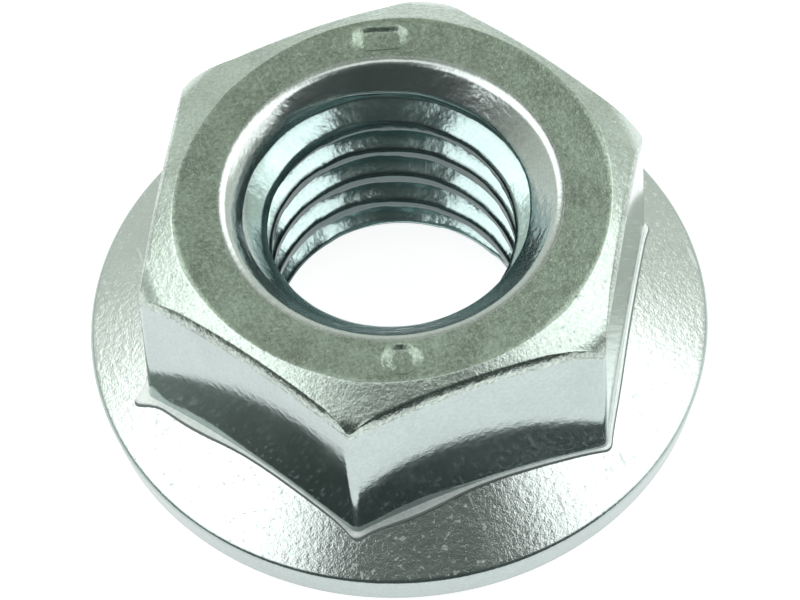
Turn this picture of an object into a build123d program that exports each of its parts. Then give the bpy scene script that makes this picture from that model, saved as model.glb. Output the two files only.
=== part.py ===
from build123d import *
import math
import os

# Serrated hexagon flange nut, M8 size, in millimetres.
# The thread axis is Z, the serrated bearing face is at Z = 0 and the hexagon is on top.

# The hexagon.
ACROSS_FLATS = 13.0
HEIGHT = 7.6
CORNER_ROUND = 0.3
TOP_FACE_D = 12.2
TOP_CHAMFER_ANGLE = 27.0
SHOULDER_ROUND = 1.0
SHOULDER_LEAN = 6.0

# The conical flange.
FLANGE_D = 17.5
RIM_TOP = 1.4
RIM_LEAN = 0.21
RIM_ROUND = 0.15
CONE_ANGLE = 24.5
FOOT_FILLET = 0.35

# The bearing face and its ratchet serrations.
BEARING_D = 15.8
BEARING_BEVEL = 0.4
TOOTH_COUNT = 24
TOOTH_DEPTH = 0.4
LAND_SHARE = 0.1
STEEP_SHARE = 0.12

# The bore: its wall is the crest circle of an M8 coarse thread, and each end has a
# 90 degree countersink.
CREST_D = 6.8
TOP_MOUTH_D = 9.3
BOTTOM_MOUTH_D = 9.6
MOUTH_ROUND = 0.15

flange_r = FLANGE_D / 2
crest_r = CREST_D / 2
top_face_r = TOP_FACE_D / 2
top_mouth_r = TOP_MOUTH_D / 2
bottom_mouth_r = BOTTOM_MOUTH_D / 2
cone_top = RIM_TOP + (flange_r - crest_r) * math.tan(math.radians(CONE_ANGLE))
corner_r = (ACROSS_FLATS / 2 - CORNER_ROUND) / math.cos(math.pi / 6) + CORNER_ROUND
shoulder_z = HEIGHT - (corner_r - top_face_r) * math.tan(math.radians(TOP_CHAMFER_ANGLE))
shoulder_run = (shoulder_z - HEIGHT / 2) * math.tan(math.radians(SHOULDER_LEAN))


def tooth_gap_section(radius):
    """The gap between two teeth at one radius: a steep face, then a long ramp."""
    width = 2 * radius * math.tan(math.pi / TOOTH_COUNT) * (1 - LAND_SHARE)
    depth = TOOTH_DEPTH * radius / flange_r
    with BuildSketch(Plane.YZ.offset(radius)) as section:
        with BuildLine():
            Polyline(
                (-width / 2, -depth),
                (-width / 2, 0),
                (-width / 2 + width * STEEP_SHARE, depth),
                (width / 2, 0),
                (width / 2, -depth),
                close=True,
            )
        make_face()
    return section.sketch


# One gap of the serrations. Every edge of it points at the thread axis, so the
# gap widens and deepens evenly from the countersink out to the bevel.
with BuildPart() as tooth_gap:
    add(tooth_gap_section(crest_r))
    add(tooth_gap_section(flange_r + RIM_LEAN))
    loft(ruled=True)

with BuildPart() as flange_nut:
    # The flange: bearing face, bevel, rim and cone, with the rim's upper edge broken.
    with BuildSketch(Plane.XZ) as flange_section:
        with BuildLine():
            Polyline(
                (0, 0),
                (BEARING_D / 2, 0),
                (flange_r - RIM_LEAN, BEARING_BEVEL),
                (flange_r, RIM_TOP),
                (crest_r, cone_top),
                (0, cone_top),
                close=True,
            )
        make_face()
        fillet(flange_section.vertices().sort_by(Axis.X)[-1], RIM_ROUND)
    revolve(axis=Axis.Z)

    # The hexagon stands in the cone, with corners at +X and -X.
    with BuildSketch(Plane.XY.offset(BEARING_BEVEL)) as hexagon:
        RegularPolygon(radius=ACROSS_FLATS / 2, side_count=6, major_radius=False)
        fillet(hexagon.vertices(), CORNER_ROUND)
    extrude(amount=HEIGHT - BEARING_BEVEL)

    # The fillet where the flats and corners of the hexagon run out into the cone.
    foot_edges = flange_nut.edges().filter_by_position(Axis.Z, RIM_TOP + RIM_ROUND, HEIGHT / 2)
    fillet(foot_edges, FOOT_FILLET)

    # The corner chamfer, and the round shoulder by which it runs over the corners.
    with BuildSketch(Plane.XZ) as chamfer_section:
        with BuildLine():
            Polyline(
                (top_face_r, HEIGHT),
                (ACROSS_FLATS, HEIGHT),
                (ACROSS_FLATS, HEIGHT / 2),
                (corner_r + shoulder_run, HEIGHT / 2),
                (corner_r, shoulder_z),
                close=True,
            )
        make_face()
        fillet(chamfer_section.vertices().sort_by(Axis.Y)[2], SHOULDER_ROUND)
    revolve(axis=Axis.Z, mode=Mode.SUBTRACT)

    # The bore and both countersinks, with the edge of the top mouth rolled over.
    with BuildSketch(Plane.XZ):
        with BuildLine():
            Polyline(
                (0, 0),
                (bottom_mouth_r, 0),
                (crest_r, bottom_mouth_r - crest_r),
                (crest_r, HEIGHT - (top_mouth_r - crest_r)),
                (top_mouth_r, HEIGHT),
                (0, HEIGHT),
                close=True,
            )
        make_face()
    revolve(axis=Axis.Z, mode=Mode.SUBTRACT)
    top_face = flange_nut.faces().sort_by(Axis.Z)[-1]
    fillet(top_face.edges().sort_by(SortBy.RADIUS)[0], MOUTH_ROUND)

    # The ratchet serrations: tightening slides up the ramps, loosening meets the steep faces.
    with PolarLocations(0, TOOTH_COUNT):
        add(tooth_gap.part, mode=Mode.SUBTRACT)

flange_nut.part.label = "flange_nut"

os.makedirs("parts", exist_ok=True)
export_step(flange_nut.part, "parts/flange_nut.step")
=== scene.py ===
import math

import bpy
import numpy as np
from mathutils import Matrix, Vector


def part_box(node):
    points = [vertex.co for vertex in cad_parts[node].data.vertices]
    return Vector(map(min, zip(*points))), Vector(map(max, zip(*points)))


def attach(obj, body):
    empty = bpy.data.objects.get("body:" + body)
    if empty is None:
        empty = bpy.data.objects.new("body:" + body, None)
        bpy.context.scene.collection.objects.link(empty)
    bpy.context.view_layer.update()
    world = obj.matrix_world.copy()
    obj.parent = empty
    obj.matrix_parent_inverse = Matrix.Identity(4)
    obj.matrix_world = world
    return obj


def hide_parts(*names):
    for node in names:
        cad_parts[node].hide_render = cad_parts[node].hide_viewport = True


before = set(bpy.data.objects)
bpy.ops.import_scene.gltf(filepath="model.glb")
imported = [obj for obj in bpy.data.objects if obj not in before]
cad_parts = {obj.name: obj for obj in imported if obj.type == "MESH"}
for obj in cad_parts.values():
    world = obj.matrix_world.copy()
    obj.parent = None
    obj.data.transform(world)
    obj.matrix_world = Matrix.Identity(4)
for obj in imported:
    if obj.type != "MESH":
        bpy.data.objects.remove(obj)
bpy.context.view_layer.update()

# The nut is one closed skin: a section of many rows, drawn round the thread axis, which is Z.
# The tips of the serrations are at Z = 0, and one corner of the hexagon is at +X.
# Sizes are in millimetres and angles in degrees until a mesh or an object is made.
MM = 0.001
HEIGHT = round(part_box("flange_nut")[1][2] / MM, 2)

# The hexagon.
ACROSS_FLATS = 13.0
CORNER_ROUND = 0.3
SHOULDER_LEAN = 6.0
TOP_EDGE_ROUND = 0.22
FLAT_R = ACROSS_FLATS / 2
HALF_SIDE = math.radians(30.0)
CORNER_CENTRE_R = (FLAT_R - CORNER_ROUND) / math.cos(HALF_SIDE)
CORNER_R = CORNER_CENTRE_R + CORNER_ROUND

# The conical flange. The round of its rim and the middle of its wall are set in by a hair,
# so that the skin stays within the straight facets of the solid.
FLANGE_R = 8.75
RIM_TOP = 1.4
RIM_LEAN = 0.21
RIM_ROUND = 0.15
RIM_INSET = 0.027
RIM_WALL_INSET = 0.02
RIM_CENTRE_R = FLANGE_R - RIM_ROUND - RIM_INSET
RIM_FOOT_R = FLANGE_R - RIM_LEAN
CONE_ANGLE = 24.5
CONE_SLOPE = math.tan(math.radians(CONE_ANGLE))

# The bearing face and its ratchet serrations. A gap between two teeth reaches to GAP_EDGE on
# both sides of its middle, and it is deepest at GAP_ROOT.
BEARING_R = 7.9
BEARING_BEVEL = 0.4
TOOTH_COUNT = 24
TOOTH_DEPTH = 0.4
LAND_SHARE = 0.1
STEEP_SHARE = 0.12
TOOTH_PITCH = 360.0 / TOOTH_COUNT
GAP_EDGE = math.degrees(math.atan(math.tan(math.pi / TOOTH_COUNT) * (1.0 - LAND_SHARE)))
GAP_ROOT = math.degrees(math.atan((1.0 - 2.0 * STEEP_SHARE) * math.tan(math.radians(GAP_EDGE))))

# The bore: a right-hand M8 coarse thread between two 90 degree countersinks, turned round the
# axis by THREAD_TURN. It wanders a little, in waves: each has its height, its count in a turn
# and its rise up the axis.
CREST_R = 3.4
ROOT_R = 4.06
PITCH = 1.25
THREAD_TURN = 78.0
FLANK_ANGLE = 30.0
CREST_HALF = PITCH / 8
THREAD_WAVES = ((0.03, 3.0, 2.0), (0.015, 11.0, 5.0))
THREAD_FOOT_Z = 0.36
THREAD_START_DEPTH = 1.4
THREAD_START_ROUND = 0.4
TOP_MOUTH_R = 4.62
BOTTOM_MOUTH_R = 4.8
MOUTH_ROUND = 0.38
MOUTH_FOOT_DEPTH = 0.55
MOUTH_MIDDLE_DEPTH = 0.3

# Each corner of the hexagon was pressed a little differently: its direction, the radius where
# its chamfer begins, the slope of the chamfer, the round of its shoulder, how far a spur of
# metal stands out at its foot, and how much the ledge widens beside it.
CORNERS = (
    {"at": 0.0, "face_r": 6.1, "slope": 28.5, "round": 1.5, "spur": 0.05, "ledge": 0.03},
    {"at": 60.0, "face_r": 6.1, "slope": 29.0, "round": 1.15, "spur": 0.04, "ledge": 0.06},
    {"at": 120.0, "face_r": 5.8, "slope": 23.5, "round": 1.0, "spur": 0.05, "ledge": 0.04},
    {"at": 180.0, "face_r": 6.1, "slope": 27.0, "round": 0.95, "spur": 0.32, "ledge": 0.14},
    {"at": 240.0, "face_r": 6.1, "slope": 22.0, "round": 0.55, "spur": 0.08, "ledge": 0.16},
    {"at": 300.0, "face_r": 6.1, "slope": 24.0, "round": 1.2, "spur": 0.03, "ledge": 0.03},
)
CORNER_TURN = 60.0

# The narrow ledge at the foot of the flats, whose face falls away outwards. It begins with a
# crease at the flat and ends with a lip, and the cone goes on from there.
LEDGE = 0.07
LEDGE_MIDDLE = 13.0
LEDGE_SPREAD = 11.0
LEDGE_ANGLE = 12.0
LEDGE_RISE = 0.04
LEDGE_CREASE = 0.035
LEDGE_LIP = 0.03
SPUR_WIDTH = 2.6

# The stamped marks: a plain dot in front and a plain bar behind. Their walls slope from just
# outside their outline to a little inside it.
STAMPS = (
    {"at": -108.0, "half_long": 0.0, "half_wide": 0.0, "round": 0.5},
    {"at": 72.0, "half_long": 0.4, "half_wide": 0.1, "round": 0.3},
)
STAMP_R = 5.42
STAMP_DEPTH = 0.11
STAMP_WALL = (0.04, -0.13)

# The angles between the columns of the skin: all round, and closer at the corners. A column
# that is nearer than KEY_CLEARANCE to an edge of a tooth gives way to one on that edge.
COLUMN_STEP = 1.2
CORNER_STEP = 0.3
CORNER_REACH = 2.4
KEY_CLEARANCE = 0.35

# The rows of the skin, mostly as shares of the way across each part. They lie closer where an
# edge turns or a finish changes, so that the shading of the faces beside it stays even. A row
# of the crease is a step out and a step up from the foot of the flat. A row of the crevice is
# a step out from the ledge's lip, and a share of the way down from it to the cone.
COUNTERSINK_ROWS = (0.0, 0.34, 0.67)
THREAD_ROWS = 86
THREAD_START_ROWS = 30
TOP_ROWS = np.linspace(0.03, 0.97, 20)
CHAMFER_ROWS = np.linspace(0.05, 1.0, 12)
EDGE_ROWS = (0.06, 0.14, 0.5, 0.86, 0.94)
EDGE_BULGE = 0.06 * TOP_EDGE_ROUND
EDGE_CLEARANCE = 0.01
FLAT_ROWS = (0.04, 0.3, 0.6, 0.99, 1.0)
FLAT_CLEARANCE = 0.02
CREASE_ROWS = ((0.006, 0.006), (0.02, 0.0), (LEDGE_CREASE, 0.0))
LEDGE_ROWS = (0.5, 0.85, 1.0)
CREVICE_ROWS = ((-0.008, 0.2), (0.012, 0.7))
CONE_ROWS = (0.0, 0.012, *np.linspace(0.05, 0.96, 14))
RIM_FOOT_ROW = (0.01, 0.06)
BEARING_ROW_RADII = (RIM_FOOT_R, 8.4, 8.25, 8.1, 7.95, 7.85, 7.5, 6.8, 6.0, 5.4, 5.0)

# The photograph's camera, in the frame of the nut.
CAMERA_AZIMUTH = -108.0
CAMERA_ELEVATION = 55.67
CAMERA_ROLL = -3.68
CAMERA_DISTANCE = 225.0
AIM_SIDEWAYS = 0.07
AIM_HEIGHT = 2.53
FOCAL_PIXELS = 8000.0
PICTURE_WIDTH = 800.0
SENSOR_WIDTH = 36.0

# Zinc plate, as it is tinted on each part of the nut. The foot and the crevice are painted light
# and shade.
ZINC = (0.62, 0.68, 0.67)
TOP_ZINC = (0.35, 0.43, 0.36)
EDGE_ZINC = (0.58, 0.67, 0.62)
FLAT_ZINC = (0.5, 0.58, 0.57)
# The foot is painted much paler than the plate, as a painted highlight on the ledge.
FOOT_PAINTED_HIGHLIGHT = (0.92, 0.97, 0.96)
# The crevice under the ledge's lip is painted dark, as painted shade.
CREVICE_PAINTED_SHADE = (0.24, 0.28, 0.27)

# The finish of each strip of the skin. metal() says what the values are.
FINISHES = {
    "bore": dict(colour=ZINC, roughness=0.2, speckle=0.018, grain=0.005, size=0.4, thread=True),
    "lip": dict(colour=ZINC, roughness=0.22, speckle=0.006, grain=0.002),
    "top": dict(
        colour=TOP_ZINC, roughness=0.28, speckle=0.011, grain=0.008, size=0.16,
        mottle=0.6, dull=0.4,
    ),
    "chamfer": dict(
        colour=EDGE_ZINC, roughness=0.26, speckle=0.011, grain=0.006, size=0.2,
        mottle=0.75, dull=0.3,
    ),
    "edge": dict(colour=EDGE_ZINC, roughness=0.25, speckle=0.02, grain=0.008, mottle=0.5),
    "flat": dict(colour=FLAT_ZINC, roughness=0.1, speckle=0.003, grain=0.001),
    "foot": dict(colour=FOOT_PAINTED_HIGHLIGHT, roughness=0.6, speckle=0.004, grain=0.002),
    "crevice": dict(colour=CREVICE_PAINTED_SHADE, roughness=0.5, speckle=0.003, grain=0.001),
    "cone": dict(
        colour=ZINC, roughness=0.18, speckle=0.009, grain=0.005, size=0.17,
        mottle=0.92, dull=0.28,
    ),
    "rim": dict(colour=FLAT_ZINC, roughness=0.25, speckle=0.006, grain=0.003),
    "bearing": dict(colour=ZINC, roughness=0.25, speckle=0.005, grain=0.002),
}
FINE_RATIO = 3.2
CLOUD_SCALE = 0.8
CLOUD_WEIGHT = 0.6
ROUGHNESS_SPREAD = 0.04
SPOT_SCALE = 11.0
SPOT_RANGE = (0.6, 1.0)
FLECK_SCALE = 6.0
FLECK_RANGE = (0.6, 0.68)
SCRATCH_STRETCH = (5.0, 0.5, 1.0)
SCRATCH_RANGE = (0.72, 0.76)

# Painted shade on the plate across the thread, by its place between two radii: painted dark on the
# crests, as a reflection of shade, and dim in the roots, where shade falls. It fades out just below
# the mouth.
THREAD_PAINTED_SHADE_RADII = (3.2, 4.2)
THREAD_PAINTED_SHADE_TOP = (HEIGHT - 0.6, HEIGHT - 0.7)
THREAD_PAINTED_SHADE = ((0.2, 0.28), (0.25, 0.34), (0.32, 0.9), (0.7, 0.9), (0.86, 0.7))
THREAD_PAINTED_SHADE_RED = 0.86

# The room, as the nut mirrors it. A range is where one colour turns into the next: from level
# up to overhead as 0 to 1, and from the camera's side to the back as -1 to 1.
FRONT_COLOUR = (0.065, 0.08, 0.075)
OVERHEAD_COLOUR = (0.14, 0.165, 0.155)
OVERHEAD_RANGE = (0.88, 0.975)
REAR_COLOUR = (0.72, 0.76, 0.68)
REAR_UPPER_COLOUR = (0.24, 0.265, 0.21)
UPPER_RANGE = (0.5, 0.85)
BACK_RANGE = (-0.6, 0.5)
PAPER_COLOUR = (0.4, 0.4, 0.4)
FLOOR_HALF = 2000.0
FLOOR_GLOW = 0.86
LAMP_DISTANCE = 150.0


def around(azimuth, elevation=0.0):
    """The unit vector at that azimuth from the camera's side, and that elevation."""
    a = math.radians(CAMERA_AZIMUTH + azimuth)
    e = math.radians(elevation)
    return Vector((math.cos(e) * math.cos(a), math.cos(e) * math.sin(a), math.sin(e)))


def add_object(name, data):
    """A new object in the scene, with that mesh, lamp or camera."""
    made = bpy.data.objects.new(name, data)
    bpy.context.scene.collection.objects.link(made)
    return made


# ---------------------------------------------------------------- surface


def smooth(edge0, edge1, value):
    """0 at edge0 and before it, 1 at edge1 and beyond it, and an even curve between."""
    t = np.clip((value - edge0) / (edge1 - edge0), 0.0, 1.0)
    return t * t * (3.0 - 2.0 * t)


def rounded_max(first, second, size):
    """The larger of two radii, with the ridge where they cross rounded off."""
    near = np.maximum(size - np.abs(first - second), 0.0)
    return np.maximum(first, second) + near**2 / (4.0 * size)


def turned_from(angle, centre):
    """The angle from centre, in degrees, between -180 and 180."""
    return (angle - centre + 180.0) % 360.0 - 180.0


def by_corner(angle, name):
    """One of the sizes in CORNERS, blended evenly from each corner to the next."""
    total = 0.0
    for corner in CORNERS:
        share = smooth(CORNER_TURN, 0.0, np.abs(turned_from(angle, corner["at"])))
        total = total + corner[name] * share
    return total


def ledge_width(angle):
    """How far the ledge at the hexagon's foot stands out, with a spur under each corner."""
    total = LEDGE
    for corner in CORNERS:
        near = turned_from(angle, corner["at"]) / SPUR_WIDTH
        along = turned_from(angle, corner["at"] + LEDGE_MIDDLE) / LEDGE_SPREAD
        total = total + corner["spur"] * np.exp(-(near**2)) + corner["ledge"] * np.exp(-(along**2))
    return total


def columns():
    """The angles at which the section is drawn, closer where the shape turns quickly."""
    angles = set(np.arange(0.0, 360.0, COLUMN_STEP).round(3))
    near_corner = np.arange(-CORNER_REACH, CORNER_REACH + CORNER_STEP / 2, CORNER_STEP)
    for corner in CORNERS:
        angles |= {round(corner["at"] + step, 3) % 360.0 for step in near_corner}
    keys = set()
    for tooth in range(TOOTH_COUNT):
        centre = tooth * TOOTH_PITCH
        keys |= {round(centre + edge, 3) % 360.0 for edge in (-GAP_EDGE, -GAP_ROOT, GAP_EDGE)}
    near_key = {a for a in angles if any(abs(turned_from(a, key)) < KEY_CLEARANCE for key in keys)}
    return np.array(sorted((angles - near_key) | keys))


def hexagon_radius(angle):
    """The distance from the axis to the hexagon's side, with its corners rounded."""
    t = np.abs(np.radians(angle % CORNER_TURN) - HALF_SIDE)
    side = FLAT_R / np.cos(t)
    off = HALF_SIDE - t
    reach = np.maximum(CORNER_ROUND**2 - (CORNER_CENTRE_R * np.sin(off)) ** 2, 0.0)
    rounded = CORNER_CENTRE_R * np.cos(off) + np.sqrt(reach)
    tangent = math.atan((FLAT_R - CORNER_ROUND) * math.tan(HALF_SIDE) / FLAT_R)
    return np.where(t > tangent, rounded, side)


def cone_height(radius):
    """The height of the flange's cone at a radius."""
    return RIM_TOP + (FLANGE_R - radius) * CONE_SLOPE


def thread_radius(angle, z):
    """The thread's wall, with a flat crest and root and 60 degree flanks."""
    turn = np.radians(angle)
    shake = sum(size * np.sin(count * turn + rise * z) for size, count, rise in THREAD_WAVES)
    phase = (z / PITCH - (angle + THREAD_TURN) / 360.0) % 1.0
    from_crest = np.abs(phase - 0.5) * PITCH + shake
    flank = (from_crest - CREST_HALF) / math.tan(math.radians(FLANK_ANGLE))
    return CREST_R + np.clip(flank, 0.0, ROOT_R - CREST_R)


def tooth_share(angle):
    """How deep the gap between the teeth is at an angle: 0 on the land, 1 at the root."""
    from_middle = (angle + TOOTH_PITCH / 2) % TOOTH_PITCH - TOOTH_PITCH / 2
    across = np.tan(np.radians(from_middle))
    edge = math.tan(math.radians(GAP_EDGE))
    root = math.tan(math.radians(GAP_ROOT))
    steep = (across + edge) / (edge - root)
    ramp = (edge - across) / (edge + root)
    return np.clip(np.minimum(steep, ramp), 0.0, 1.0)


def stamped_depth(angle, radius):
    """The depth of the two plain stamped marks, each a box with a rounded outline."""
    depth = 0.0
    for stamp in STAMPS:
        turn = np.radians(turned_from(angle, stamp["at"]))
        along = np.abs(radius * np.sin(turn)) - stamp["half_long"]
        across = np.abs(radius * np.cos(turn) - STAMP_R) - stamp["half_wide"]
        outside = np.hypot(np.maximum(along, 0.0), np.maximum(across, 0.0)) - stamp["round"]
        depth = depth + STAMP_DEPTH * smooth(*STAMP_WALL, outside)
    return depth


class Section:
    """The rows of the skin, each a ring of points, with the finish of the strip after it."""

    def __init__(self, angles):
        self.angles = angles
        self.rows = []
        self.finishes = []

    def add(self, radius, z, finish):
        """One more row. Its radius and height are single values, or one for each angle."""
        ring = np.empty((len(self.angles), 2))
        ring[:, 0] = radius
        ring[:, 1] = z
        self.rows.append(ring)
        self.finishes.append(finish)

    def add_arc(self, radius, z, size, start, stop, finish, rows=6):
        """A small round about (radius, z), from one direction to another."""
        for step in range(rows):
            a = math.radians(start + (stop - start) * step / (rows - 1))
            self.add(radius + size * math.cos(a), z + size * math.sin(a), finish)

    def points(self):
        """The corners of the mesh in metres, row after row."""
        rings = np.array(self.rows)
        turn = np.radians(self.angles)
        placed = np.stack(
            [rings[:, :, 0] * np.cos(turn), rings[:, :, 0] * np.sin(turn), rings[:, :, 1]], axis=-1
        )
        return placed.reshape(-1, 3) * MM

    def quads(self):
        """The faces between each row and the next, closed round the axis and at the end."""
        count_rows, count_columns = len(self.rows), len(self.angles)
        row = np.arange(count_rows)[:, None] * count_columns
        next_row = (np.arange(count_rows)[:, None] + 1) % count_rows * count_columns
        column = np.arange(count_columns)[None, :]
        next_column = (column + 1) % count_columns
        corners = (row + column, row + next_column, next_row + next_column, next_row + column)
        return np.stack(corners, axis=-1).reshape(-1, 4)


class Shoulder:
    """The corner chamfer and the round by which it runs over the corners.

    The round is a circle that touches the chamfer and a steep line through the corner.
    """

    def __init__(self, angles):
        self.face_r = by_corner(angles, "face_r")
        self.slope = np.radians(by_corner(angles, "slope"))
        self.size = by_corner(angles, "round")
        sin_slope, cos_slope = np.sin(self.slope), np.cos(self.slope)
        lean = math.radians(SHOULDER_LEAN)
        sin_lean, cos_lean = math.sin(lean), math.cos(lean)
        corner_z = HEIGHT - (CORNER_R - self.face_r) * np.tan(self.slope)
        chamfer_line = sin_slope * self.face_r + cos_slope * HEIGHT - self.size
        corner_line = cos_lean * CORNER_R + sin_lean * corner_z - self.size
        turn = sin_slope * sin_lean - cos_slope * cos_lean
        self.middle_r = (chamfer_line * sin_lean - corner_line * cos_slope) / turn
        self.middle_z = (sin_slope * corner_line - cos_lean * chamfer_line) / turn
        self.touch_r = self.middle_r + self.size * sin_slope

    def lean(self, radius):
        """The direction in which the surface faces at a radius, up from level."""
        across = np.clip((radius - self.middle_r) / self.size, -1.0, 1.0)
        return np.where(radius > self.touch_r, np.arccos(across), math.pi / 2 - self.slope)

    def height(self, radius):
        """The height of the surface at a radius."""
        on_round = self.middle_z + self.size * np.sin(self.lean(radius))
        on_chamfer = HEIGHT - (radius - self.face_r) * np.tan(self.slope)
        return np.where(radius > self.touch_r, on_round, on_chamfer)

    def radius_along(self, share, end_r):
        """The radius at a share of the way from the top face to end_r, along the surface."""
        straight = (np.minimum(end_r, self.touch_r) - self.face_r) / np.cos(self.slope)
        curved = self.size * (math.pi / 2 - self.slope - self.lean(end_r))
        gone = share * (straight + curved)
        past = (gone - straight) / self.size
        on_round = self.middle_r + self.size * np.cos(math.pi / 2 - self.slope - past)
        on_chamfer = self.face_r + gone * np.cos(self.slope)
        return np.where(past > 0.0, on_round, on_chamfer)


def add_bore(section):
    """From the foot of the lower countersink, through the thread, to the top mouth."""
    angle = section.angles
    tooth_slope = tooth_share(angle) * TOOTH_DEPTH / FLANGE_R
    foot_z = BOTTOM_MOUTH_R - BOTTOM_MOUTH_R / (1.0 + tooth_slope)
    for share in COUNTERSINK_ROWS:
        z = foot_z + (THREAD_FOOT_Z - foot_z) * share
        section.add(BOTTOM_MOUTH_R - z, z, "bore")
    start = HEIGHT - THREAD_START_DEPTH
    thread = np.linspace(THREAD_FOOT_Z, start, THREAD_ROWS, endpoint=False)
    thread_start = np.linspace(start, HEIGHT - MOUTH_FOOT_DEPTH, THREAD_START_ROWS)
    for z in (*thread, *thread_start):
        wall = np.maximum(thread_radius(angle, z), BOTTOM_MOUTH_R - z)
        section.add(rounded_max(wall, TOP_MOUTH_R - (HEIGHT - z), THREAD_START_ROUND), z, "bore")
    section.add(TOP_MOUTH_R - MOUTH_MIDDLE_DEPTH, HEIGHT - MOUTH_MIDDLE_DEPTH, "bore")


def add_top(section):
    """The rolled mouth and the flat top face, with its two stamped marks."""
    inner = TOP_MOUTH_R + MOUTH_ROUND * math.tan(math.radians(22.5))
    section.add_arc(inner, HEIGHT - MOUTH_ROUND, MOUTH_ROUND, 135.0, 90.0, "lip")
    width = by_corner(section.angles, "face_r") - inner
    for share in TOP_ROWS:
        r = inner + width * share
        section.add(r, HEIGHT - stamped_depth(section.angles, r), "top")


def add_shoulder(section, hexagon):
    """The chamfer and its shoulder, and the rolled edge below them.

    Gives the height at which the flats begin.
    """
    shoulder = Shoulder(section.angles)
    lean = shoulder.lean(hexagon)
    bevel_r = TOP_EDGE_ROUND * (1.0 - np.cos(lean))
    bevel_z = TOP_EDGE_ROUND * np.sin(lean)
    end_r = hexagon - bevel_r - EDGE_CLEARANCE
    for share in CHAMFER_ROWS:
        r = shoulder.radius_along(share, end_r)
        section.add(r, shoulder.height(r), "chamfer")
    flat_top = shoulder.height(hexagon) - TOP_EDGE_ROUND * np.tan(lean / 2)
    for share in EDGE_ROWS:
        bulge = EDGE_BULGE * math.sin(math.pi * share)
        r = hexagon - bevel_r * (1.0 - share) + bulge * np.cos(lean / 2)
        section.add(r, flat_top + bevel_z * (1.0 - share) + bulge * np.sin(lean / 2), "edge")
    return flat_top


def add_side(section, hexagon, flat_top):
    """The flats, the narrow ledge at their foot, and the crevice under its lip, painted dark as
    shade.
    """
    out = ledge_width(section.angles)
    fall = math.tan(math.radians(LEDGE_ANGLE))
    foot = cone_height(hexagon) + LEDGE_RISE
    for share in FLAT_ROWS:
        section.add(hexagon, flat_top + (foot + FLAT_CLEARANCE - flat_top) * share, "flat")
    # The crease and the ledge are painted pale, as a painted highlight.
    for r, z in CREASE_ROWS:
        section.add(hexagon + r, foot + z - r * fall, "foot")
    for share in LEDGE_ROWS:
        r = LEDGE_CREASE + (out - LEDGE_CREASE - LEDGE_LIP) * share
        section.add(hexagon + r, foot - r * fall, "foot")
    lip = foot - out * fall
    cone = cone_height(hexagon + out + LEDGE_LIP)
    # The strip under the lip is painted dark, as painted shade.
    for r, share in CREVICE_ROWS:
        section.add(hexagon + out + r, lip - share * (lip - cone), "crevice")


def add_cone(section, hexagon):
    """The flange's cone, from the ledge down to the rim."""
    inner = hexagon + ledge_width(section.angles) + LEDGE_LIP
    outer = RIM_CENTRE_R + RIM_ROUND * math.sin(math.radians(CONE_ANGLE))
    for share in CONE_ROWS:
        r = inner + (outer - inner) * share
        section.add(r, cone_height(r), "cone")


def add_rim(section):
    """The round at the foot of the cone, and the leaning wall below it."""
    slope = math.radians(CONE_ANGLE)
    wall = math.degrees(math.atan2(RIM_LEAN, RIM_TOP - BEARING_BEVEL))
    drop = (RIM_ROUND - (FLANGE_R - RIM_CENTRE_R) * math.sin(slope)) / math.cos(slope)
    section.add_arc(RIM_CENTRE_R, RIM_TOP - drop, RIM_ROUND, 90.0 - CONE_ANGLE, -wall, "rim")
    middle_r = FLANGE_R - RIM_LEAN / 2 - RIM_WALL_INSET
    section.add(middle_r, (RIM_TOP + BEARING_BEVEL) / 2, "rim")
    out, up = RIM_FOOT_ROW
    section.add(RIM_FOOT_R + out, BEARING_BEVEL + up, "rim")


def add_bearing(section):
    """The bevel and the serrated bearing face, back to the lower countersink."""
    share = tooth_share(section.angles)
    for r in BEARING_ROW_RADII:
        bevel = max(r - BEARING_R, 0.0) * BEARING_BEVEL / (RIM_FOOT_R - BEARING_R)
        section.add(r, np.maximum(share * TOOTH_DEPTH * r / FLANGE_R, bevel), "bearing")


def nut_mesh():
    """One closed skin of the whole nut, and the names of its finishes in their order."""
    section = Section(columns())
    hexagon = hexagon_radius(section.angles)
    add_bore(section)
    add_top(section)
    flat_top = add_shoulder(section, hexagon)
    add_side(section, hexagon, flat_top)
    add_cone(section, hexagon)
    add_rim(section)
    add_bearing(section)
    mesh = bpy.data.meshes.new("nut_skin")
    mesh.from_pydata(section.points().tolist(), [], section.quads().tolist())
    finishes = list(dict.fromkeys(section.finishes))
    index = np.array([finishes.index(name) for name in section.finishes])
    mesh.polygons.foreach_set("material_index", np.repeat(index, len(section.angles)))
    mesh.shade_smooth()
    return mesh, finishes


# --------------------------------------------------------------- materials


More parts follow.
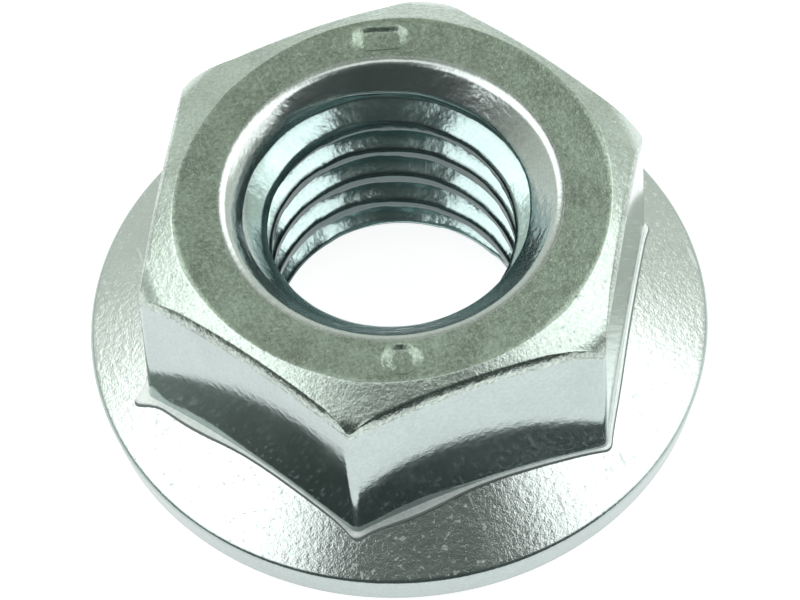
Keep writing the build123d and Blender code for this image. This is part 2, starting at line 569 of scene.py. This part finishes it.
class Nodes:
    """A short way to write a node tree: each call adds a node and returns its output."""

    def __init__(self, tree):
        self.tree = tree
        tree.nodes.clear()

    def new(self, kind, output=0, settings=None, **inputs):
        """A node of that kind. An input goes by its name, or by its place as _0, _1, _2."""
        node = self.tree.nodes.new("ShaderNode" + kind)
        for name, value in (settings or {}).items():
            setattr(node, name, value)
        for name, value in inputs.items():
            socket = node.inputs[int(name[1:])] if name[0] == "_" else node.inputs[name]
            if isinstance(value, bpy.types.NodeSocket):
                self.tree.links.new(value, socket)
            else:
                socket.default_value = value
        return node.outputs[output] if len(node.outputs) else node

    def maths(self, operation, *values):
        """One step of arithmetic on numbers."""
        places = {f"_{place}": value for place, value in enumerate(values)}
        return self.new("Math", settings={"operation": operation}, **places)

    def vector(self, operation, *values, output=0, **inputs):
        """One step of arithmetic on vectors."""
        places = {f"_{place}": value for place, value in enumerate(values)}
        return self.new("VectorMath", output, {"operation": operation}, **places, **inputs)

    def noise(self, place, scale, detail, **inputs):
        """Cloudy noise, with so many waves in a millimetre."""
        return self.new("TexNoise", Vector=place, Scale=scale, Detail=detail, **inputs)

    def spread(self, value, low, high, first=0.0, last=1.0, curve="LINEAR"):
        """The value between low and high, brought to between first and last."""
        curve = {"interpolation_type": curve}
        return self.new("MapRange", settings=curve, Value=value, _1=low, _2=high, _3=first, _4=last)

    def ramp(self, value, stops):
        """Colours along a value: each stop is a place and the colour there."""
        stops = list(stops)
        colour = self.new("ValToRGB", Fac=value)
        elements = colour.node.color_ramp.elements
        while len(elements) < len(stops):
            elements.new(0.5)
        for element, (place, stop) in zip(elements, stops):
            element.position = place
            element.color = (*stop, 1.0)
        return colour

    def mix(self, share, first, second, kind="MIX"):
        """Two colours, mixed or multiplied."""
        first, second = ((*c, 1.0) if isinstance(c, tuple) else c for c in (first, second))
        settings = {"data_type": "RGBA", "blend_type": kind}
        return self.new("Mix", 2, settings, _0=share, _6=first, _7=second)


def painted_thread_shade(n, place, tint):
    """Painted shade on the plate: dark on the crests of the thread and dim in its roots, below the
    mouth.
    """
    radius = n.vector("LENGTH", n.vector("MULTIPLY", place, (1.0, 1.0, 0.0)), output="Value")
    height = n.new("SeparateXYZ", output=2, Vector=place)
    across = n.spread(radius, *THREAD_PAINTED_SHADE_RADII)
    stops = [(at, (THREAD_PAINTED_SHADE_RED * value, value, value)) for at, value in THREAD_PAINTED_SHADE]
    below = n.spread(height, *THREAD_PAINTED_SHADE_TOP)
    return n.mix(below, tint, n.ramp(across, stops), "MULTIPLY")


def flecks(n, place):
    """Where the plate is dull: small irregular flecks and a few fine scratches, from 0 to 1."""
    spots = n.noise(place, FLECK_SCALE, 3.0, Roughness=0.6)
    lines = n.noise(n.vector("MULTIPLY", place, SCRATCH_STRETCH), 1.0, 1.0)
    return n.maths("MAXIMUM", n.spread(spots, *FLECK_RANGE), n.spread(lines, *SCRATCH_RANGE))


def metal(name, colour, roughness, speckle, grain, size=0.22, mottle=0.88, thread=False, dull=0.0):
    """Zinc plate.

    Speckle and grain are the heights of its coarse and fine unevenness, and size is the width
    of the coarse one. Mottle is how dark its dark spots are, and dull is how rough its flecks.
    """
    material = bpy.data.materials.new(name)
    material.use_nodes = True
    n = Nodes(material.node_tree)
    place = n.vector("SCALE", n.new("TexCoord", 3), Scale=1 / MM)
    coarse = n.noise(place, 1 / size, 2.0)
    fine = n.noise(place, FINE_RATIO / size, 2.0)
    bump = n.new("Bump", Strength=1.0, Distance=speckle * MM, Height=coarse)
    bump = n.new("Bump", Strength=1.0, Distance=grain * MM, Height=fine, Normal=bump)
    cloud = n.noise(place, CLOUD_SCALE, 4.0)
    rough = n.spread(cloud, 0.0, 1.0, roughness - ROUGHNESS_SPREAD, roughness + ROUGHNESS_SPREAD)
    if dull:
        rough = n.maths("MULTIPLY_ADD", flecks(n, place), dull, rough)
    spots = n.maths("MULTIPLY_ADD", cloud, CLOUD_WEIGHT, n.noise(place, SPOT_SCALE, 3.0))
    darker = tuple(mottle * c for c in colour)
    tint = n.ramp(spots, zip(SPOT_RANGE, (darker, colour)))
    # The bore's plate gets painted shade across the thread.
    if thread:
        tint = painted_thread_shade(n, place, tint)
    plate = {"Base Color": tint, "Metallic": 1.0, "Normal": bump, "Roughness": rough}
    n.new("OutputMaterial", Surface=n.new("BsdfPrincipled", **plate))
    return material


def make_nut():
    """The nut, which takes the place of the plain solid."""
    mesh, finishes = nut_mesh()
    for name in finishes:
        mesh.materials.append(metal("zinc_" + name, **FINISHES[name]))
    nut = add_object("nut_body", mesh)
    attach(nut, "root")
    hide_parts("flange_nut")


# ------------------------------------------------------------------ studio


def make_camera():
    """The photograph's long lens, above the nut and a little to its left."""
    data = bpy.data.cameras.new("photo_camera")
    data.sensor_width = SENSOR_WIDTH
    data.lens = SENSOR_WIDTH * FOCAL_PIXELS / PICTURE_WIDTH
    data.clip_start = 0.01
    data.clip_end = 10.0
    camera = add_object("photo_camera", data)
    back = around(0.0, CAMERA_ELEVATION)
    side = Vector((0.0, 0.0, 1.0)).cross(back).normalized()
    above = back.cross(side)
    roll = math.radians(CAMERA_ROLL)
    right = side * math.cos(roll) + above * math.sin(roll)
    up = above * math.cos(roll) - side * math.sin(roll)
    aim = side * AIM_SIDEWAYS + Vector((0.0, 0.0, AIM_HEIGHT))
    place = (aim + back * CAMERA_DISTANCE) * MM
    turn = Matrix((right, up, back)).transposed().to_4x4()
    camera.matrix_world = Matrix.Translation(place) @ turn
    bpy.context.scene.camera = camera


def floor_paper():
    """Pale paper that glows white to the eye and in the metal, and still takes a shadow."""
    material = bpy.data.materials.new("floor_white")
    material.use_nodes = True
    n = Nodes(material.node_tree)
    ray = n.new("LightPath").node.outputs
    seen = n.maths("MAXIMUM", ray["Is Camera Ray"], ray["Is Glossy Ray"])
    seen = n.maths("MAXIMUM", seen, ray["Is Transmission Ray"])
    glow = n.maths("MULTIPLY", seen, FLOOR_GLOW)
    paper = n.new("BsdfDiffuse", Color=(*PAPER_COLOUR, 1.0))
    white = n.new("Emission", Color=(1.0, 1.0, 1.0, 1.0), Strength=glow)
    n.new("OutputMaterial", Surface=n.new("AddShader", _0=paper, _1=white))
    return material


def make_floor():
    """A pale floor that shows white and keeps the nut's shadow."""
    half = FLOOR_HALF * MM
    corners = [(-half, -half, 0.0), (half, -half, 0.0), (half, half, 0.0), (-half, half, 0.0)]
    mesh = bpy.data.meshes.new("floor")
    mesh.from_pydata(corners, [], [(0, 1, 2, 3)])
    mesh.materials.append(floor_paper())
    add_object("floor", mesh)


def soft_box(name, azimuth, elevation, width, height, radiance, glossy=True):
    """A rectangular lamp that faces the nut. Where it isn't glossy, the metal doesn't mirror it."""
    data = bpy.data.lights.new(name, "AREA")
    data.shape = "RECTANGLE"
    data.size = width * MM
    data.size_y = height * MM
    data.energy = radiance * math.pi * data.size * data.size_y
    lamp = add_object(name, data)
    away = around(azimuth, elevation)
    lamp.location = (away * LAMP_DISTANCE + Vector((0.0, 0.0, HEIGHT / 2))) * MM
    lamp.rotation_mode = "QUATERNION"
    lamp.rotation_quaternion = away.to_track_quat("Z", "Y")
    lamp.visible_camera = False
    lamp.visible_glossy = glossy


def make_lamps():
    """Two large boxes at the sides, for the white of the cone, and three lesser ones."""
    soft_box("left_box", -101.0, 55.5, width=190.0, height=104.0, radiance=1.7)
    soft_box("right_box", 110.0, 53.5, width=190.0, height=100.0, radiance=1.7)
    soft_box("right_low_box", 90.0, 25.0, width=110.0, height=58.0, radiance=1.1)
    soft_box("top_box", 180.0, 88.0, width=70.0, height=50.0, radiance=1.0)
    soft_box("floor_light", 0.0, 85.0, width=200.0, height=200.0, radiance=0.5, glossy=False)


def make_world():
    """A dim room: dark on the camera's side and overhead, a green-grey wall at the back."""
    world = bpy.data.worlds.new("studio")
    world.use_nodes = True
    n = Nodes(world.node_tree)
    way = n.new("TexCoord")
    back = n.vector("DOT_PRODUCT", way, tuple(-around(0.0)), output="Value")
    up = n.new("SeparateXYZ", output=2, Vector=way)
    overhead = n.spread(up, *OVERHEAD_RANGE, curve="SMOOTHSTEP")
    upper = n.spread(up, *UPPER_RANGE, curve="SMOOTHSTEP")
    behind = n.spread(back, *BACK_RANGE, curve="SMOOTHSTEP")
    front = n.mix(overhead, FRONT_COLOUR, OVERHEAD_COLOUR)
    rear = n.mix(upper, REAR_COLOUR, REAR_UPPER_COLOUR)
    colour = n.mix(behind, front, rear)
    n.new("OutputWorld", Surface=n.new("Background", Color=colour))
    bpy.context.scene.world = world


make_camera()
make_floor()
make_world()
make_lamps()
make_nut()

bpy.context.scene.view_settings.view_transform = "Standard"
